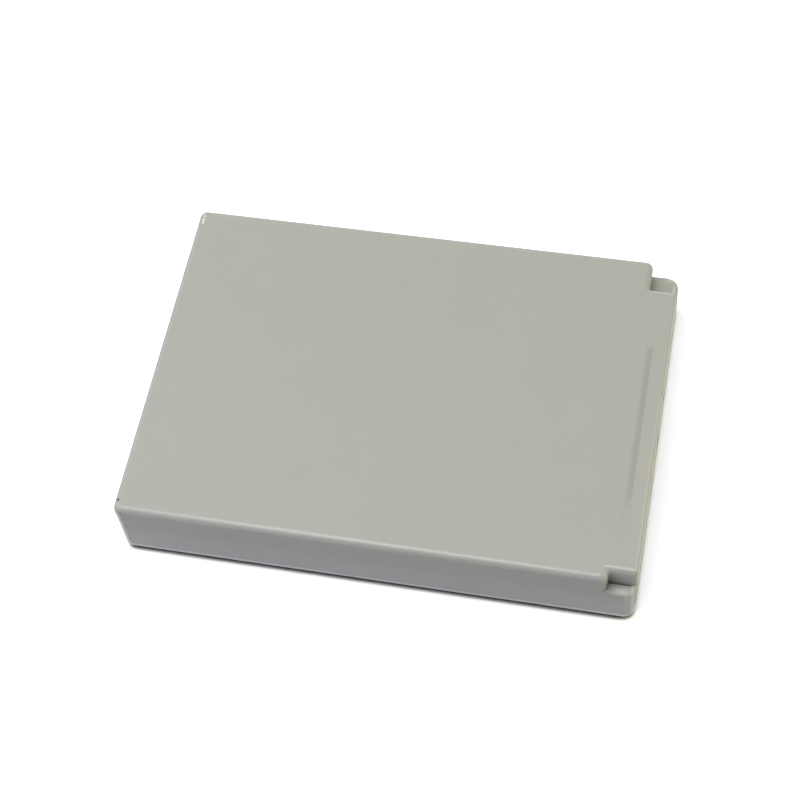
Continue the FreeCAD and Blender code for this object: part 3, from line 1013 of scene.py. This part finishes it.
@dataclass
class Studio:
    """White table under soft boxes from above and three sides, and the camera of the photograph."""

    camera_mm: Point = (24.165, -76.527, 140.539)
    aim_mm: Point = (-0.6305, 0.2839, 3.5)
    roll_deg: float = -8.135
    lens_mm: float = 80.04
    clip_start_mm: float = 10.0
    # Name, place, width, height, watts and colour of each lamp
    lamps: tuple[SoftBox, ...] = (
        SoftBox("overhead_light", (0.0, 0.0, 430.0), 250.0, 250.0, 0.5, "FEFFEA"),
        SoftBox("window_light", (-56.0, -56.0, 245.0), 150.0, 150.0, 0.29, "E2E7FF"),
        SoftBox("left_light", (-341.0, 120.0, 234.0), 350.0, 250.0, 0.82, "FFF8F4"),
        SoftBox("right_light", (377.0, 101.0, 182.0), 250.0, 250.0, 0.72, "FFFFE2"),
        SoftBox("front_light", (-276.0, -276.0, 182.0), 250.0, 250.0, 0.11, "C7C7FF"),
    )
    sky_hex: str = "E6EEF8"
    sky_strength: float = 0.01
    white_hex: str = "FFFFFF"
    # Matt coated board, an even white without gloss
    table_mm: float = 3000.0
    table_hex: str = "F2F0F4"
    table_shine_hex: str = "F6F6F6"
    # Lift of the white that the camera sees, and the span over which it turns to pure white
    table_gain: float = 1.9
    table_near_mm: float = 70.0
    table_far_mm: float = 160.0
    # The lamps leave the table warm beside the contact end and cool along the near side
    table_tint_hex: str = "ECECFF"
    near_tint_hex: str = "F8F6EA"
    near_side: Ramp = Ramp(Axis.Y, -14.8, -15.7)
    # Painted contact shadow in the gap under the base edge: its reach, how open the table is at its
    # darkest and at its palest, and the share of the table's white that is left there
    contact_shadow_mm: float = 0.57
    contact_shadow_open: tuple[float, float] = (0.18, 0.92)
    contact_shadow_level: float = 0.03
    contact_shadow_samples: int = 16
    # Felt for towards the far side, the painted shadow shows along the near edge and only faintly at the
    # ends
    contact_shadow_normal: Point = (0.0, 0.8, 0.6)

    def camera(self) -> None:
        """Place the camera at its point, aimed and then rolled about its own axis."""
        lens = bpy.data.cameras.new("camera")
        lens.lens = self.lens_mm
        lens.clip_start = self.clip_start_mm * MM
        eye = bpy.data.objects.new("camera", lens)
        at, aim = Vector(self.camera_mm) * MM, Vector(self.aim_mm) * MM
        turn = (aim - at).to_track_quat("-Z", "Y").to_matrix().to_4x4()
        roll = Matrix.Rotation(math.radians(self.roll_deg), 4, "Z")
        eye.matrix_world = Matrix.Translation(at) @ turn @ roll
        bpy.context.scene.collection.objects.link(eye)
        bpy.context.scene.camera = eye

    def shiny_rays(self, tree: Tree) -> Socket:
        """Mask of the rays that gloss and glass send on.

        Args:
            tree: Node tree of the table or the sky.

        Returns:
            The mask.
        """
        paths = add_node(tree, "LightPath", {}).node.outputs
        either = {0: paths["Is Glossy Ray"], 1: paths["Is Transmission Ray"]}
        return add_node(tree, "Math", either, operation="MAXIMUM")

    def sky(self) -> None:
        """Light from all round, seen as plain white."""
        world = bpy.data.worlds.new("sky")
        world.use_nodes = True
        tree = world.node_tree
        camera_ray = add_node(tree, "LightPath", {}, out="Is Camera Ray")
        seen = {0: camera_ray, 1: self.shiny_rays(tree)}
        light = {"Color": linear(self.sky_hex), "Strength": self.sky_strength}
        white = {"Color": linear(self.white_hex), "Strength": 1.0}
        mix = {
            0: add_node(tree, "Math", seen, operation="MAXIMUM"),
            1: add_node(tree, "Background", light),
            2: add_node(tree, "Background", white),
        }
        wire(tree, tree.nodes["World Output"], {"Surface": add_node(tree, "MixShader", mix)})
        bpy.context.scene.world = world

    def painted_contact_shadow(self, tree: Tree, place: Socket) -> Socket:
        """Gain of the table's white, with a painted contact shadow in the narrow gap under the pack's
        rounded base edge.

        Args:
            tree: Node tree of the table's material.
            place: Object coordinates in millimetres.

        Returns:
            The gain, as a colour.
        """
        normal = add_node(tree, "CombineXYZ", dict(zip("XYZ", self.contact_shadow_normal)))
        reach = {"Distance": self.contact_shadow_mm * MM, "Normal": normal}
        free = add_node(tree, "AmbientOcclusion", reach, out="AO", samples=self.contact_shadow_samples)
        low, high = self.contact_shadow_open
        span = {"Value": free, "From Min": low, "From Max": high}
        span |= {"To Min": self.table_gain * self.contact_shadow_level, "To Max": self.table_gain}
        level = add_node(tree, "MapRange", span, interpolation_type="SMOOTHSTEP")
        near = self.near_side.mask(tree, place)
        tints = {MIX_FACTOR: near, MIX_A: linear(self.table_tint_hex), MIX_B: linear(self.near_tint_hex)}
        tint = add_node(tree, "Mix", tints, out=MIX_RESULT, data_type="RGBA")
        return add_node(tree, "VectorMath", {0: tint, "Scale": level}, operation="SCALE")

    def table_finish(self) -> Material:
        """Make the table's white, which lights the pack as it is and is seen lifted, with its shadow and a
        painted contact shadow under the base edge.

        Returns:
            The material, ready to assign.
        """
        material = bpy.data.materials.new("white_table")
        material.use_nodes = True
        tree = material.node_tree
        camera_ray = add_node(tree, "LightPath", {}, out="Is Camera Ray")
        matt = add_node(tree, "BsdfDiffuse", {"Color": linear(self.table_hex)})
        white = add_node(tree, "BsdfDiffuse", {"Color": linear(self.table_shine_hex)})
        lit = add_node(tree, "MixShader", {0: self.shiny_rays(tree), 1: matt, 2: white})
        metres = add_node(tree, "TexCoord", {}, out="Object")
        place = add_node(tree, "VectorMath", {0: metres, "Scale": 1 / MM}, operation="SCALE")
        away = add_node(tree, "VectorMath", {0: place}, out="Value", operation="LENGTH")
        span = {"Value": away, "From Min": self.table_near_mm, "From Max": self.table_far_mm}
        fade = add_node(tree, "MapRange", span, interpolation_type="SMOOTHSTEP")
        near = add_node(tree, "BsdfDiffuse", {"Color": self.painted_contact_shadow(tree, place)})
        far = add_node(tree, "Emission", {"Color": linear(self.white_hex), "Strength": 1.0})
        seen = add_node(tree, "MixShader", {0: fade, 1: near, 2: far})
        mix = {0: camera_ray, 1: lit, 2: seen}
        wire(tree, tree.nodes["Material Output"], {"Surface": add_node(tree, "MixShader", mix)})
        return material

    def table(self) -> None:
        """Lay the white table top, one square face."""
        half = self.table_mm * MM / 2
        corners = [(-half, -half, 0), (half, -half, 0), (half, half, 0), (-half, half, 0)]
        mesh = bpy.data.meshes.new("table")
        mesh.from_pydata(corners, [], [(0, 1, 2, 3)])
        mesh.materials.append(self.table_finish())
        table = bpy.data.objects.new("table", mesh)
        bpy.context.scene.collection.objects.link(table)

    def build(self) -> None:
        """Set up camera, light, background and table."""
        bpy.context.scene.view_settings.view_transform = "Standard"
        self.camera()
        for lamp in self.lamps:
            lamp.hang()
        self.sky()
        self.table()


def main() -> None:
    """Build every sub-assembly in order."""
    logging.basicConfig(level=logging.INFO)
    CasePair().build()
    CellPack().build()
    ProtectionCircuit().build()
    Studio().build()


if __name__ == "__main__":
    main()
